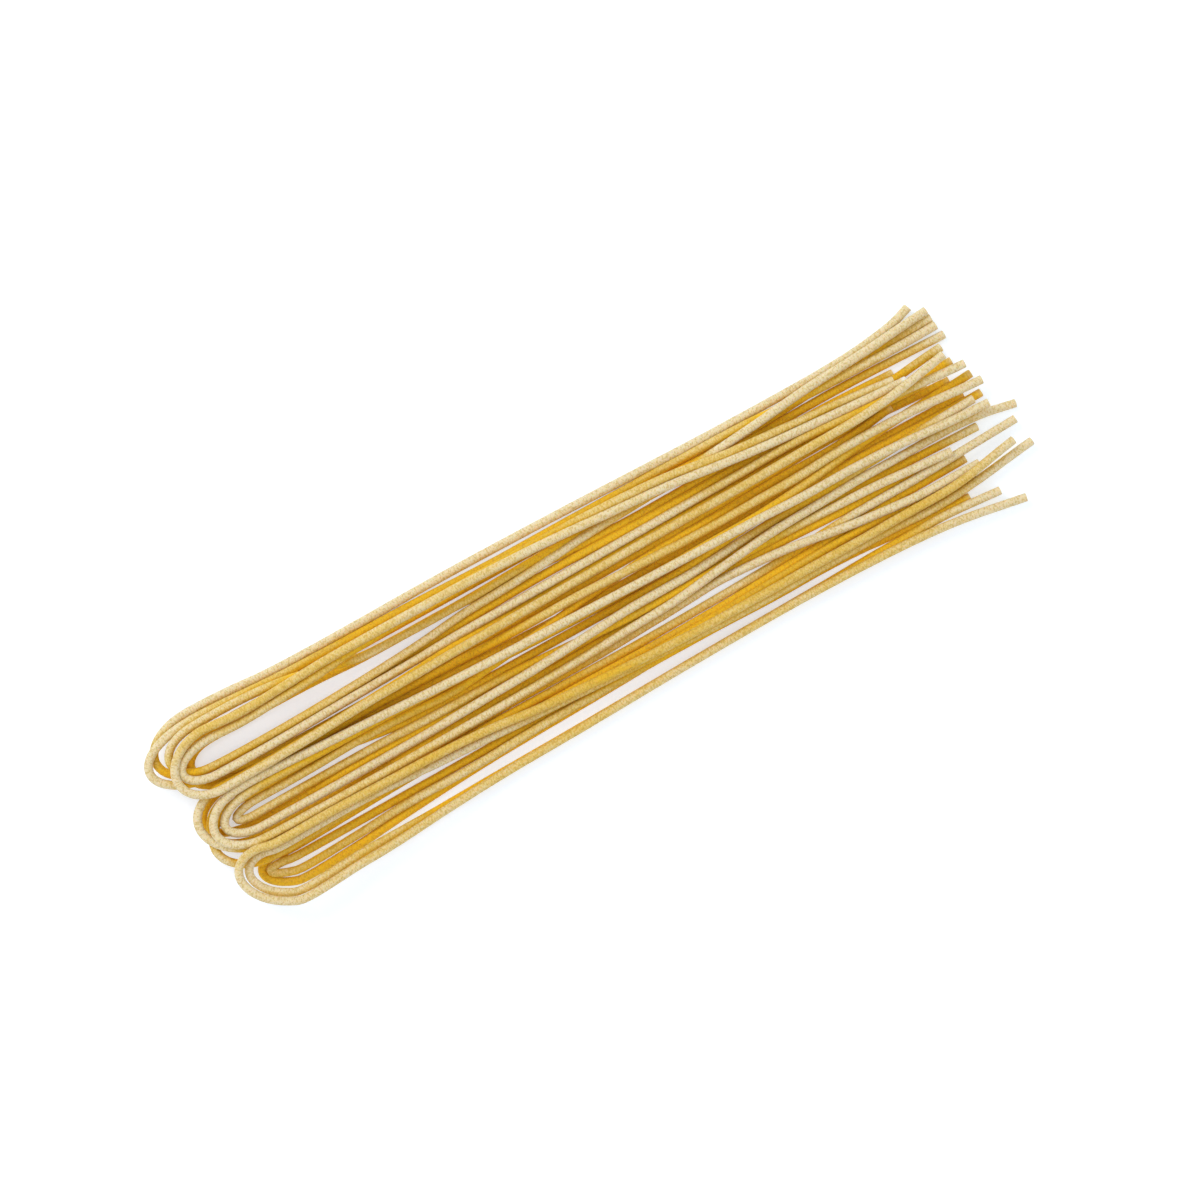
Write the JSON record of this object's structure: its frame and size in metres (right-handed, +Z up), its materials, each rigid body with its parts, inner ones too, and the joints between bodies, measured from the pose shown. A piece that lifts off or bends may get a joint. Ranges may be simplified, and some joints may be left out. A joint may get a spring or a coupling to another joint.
{
  "type": "bundle of dry spaghetti",
  "caption": "Bundle of dry spaghetti, long strands folded into hairpins and lying loosely side by side, with round bends and blunt cut tips.",
  "frame": {"origin": "middle of the bundle's outline from above, on the surface that it lies on", "axes": "+X along the strands from the bends to the cut tips, +Y across the strands, +Z up"},
  "size_m": [0.252, 0.0624, 0.0126],
  "materials": {
    "pasta": "rough and dusty dry durum pasta"
  },
  "bodies": {
    "root": {"spaghetti_bundle": "pasta"}
  },
  "joints": []
}
